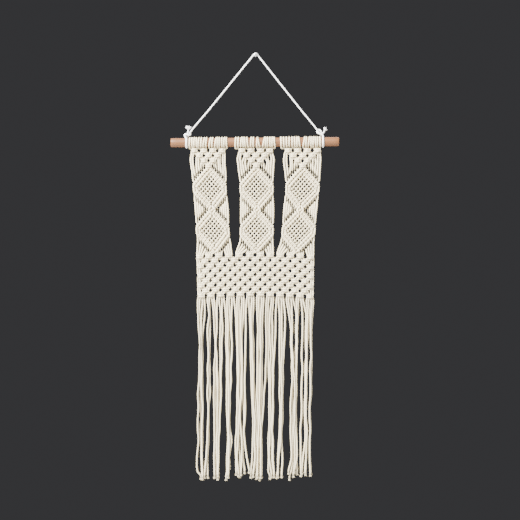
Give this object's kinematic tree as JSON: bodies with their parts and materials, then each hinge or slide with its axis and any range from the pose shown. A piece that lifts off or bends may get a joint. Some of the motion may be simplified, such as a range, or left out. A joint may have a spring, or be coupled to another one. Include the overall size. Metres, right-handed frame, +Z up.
{
  "type": "macrame wall hanging with wooden rod and wall nail",
  "caption": "Knotted cotton wall hanging: panels of woven diamonds looped on a wooden rod join in a knotted band with a long fringe, and a tied cord hangs it from a nail.",
  "frame": {"origin": "middle of the nail's flat rear end, where the nail leaves the wall", "axes": "+Z up, -Y out of the wall towards the viewer, +X to the viewer's right; the wall is the plane Y = 0"},
  "size_m": [0.3, 0.0274, 0.765],
  "materials": {
    "light_wood": "plain sanded beech",
    "white_cotton": "smooth twisted cotton cord",
    "cream_cotton": "undyed twisted cotton cord",
    "steel": "bright wire nail"
  },
  "bodies": {
    "root": {"dowel": "light_wood", "hanger": "white_cotton", "netting": "cream_cotton", "fringe": "cream_cotton", "nail": "steel"}
  },
  "joints": []
}
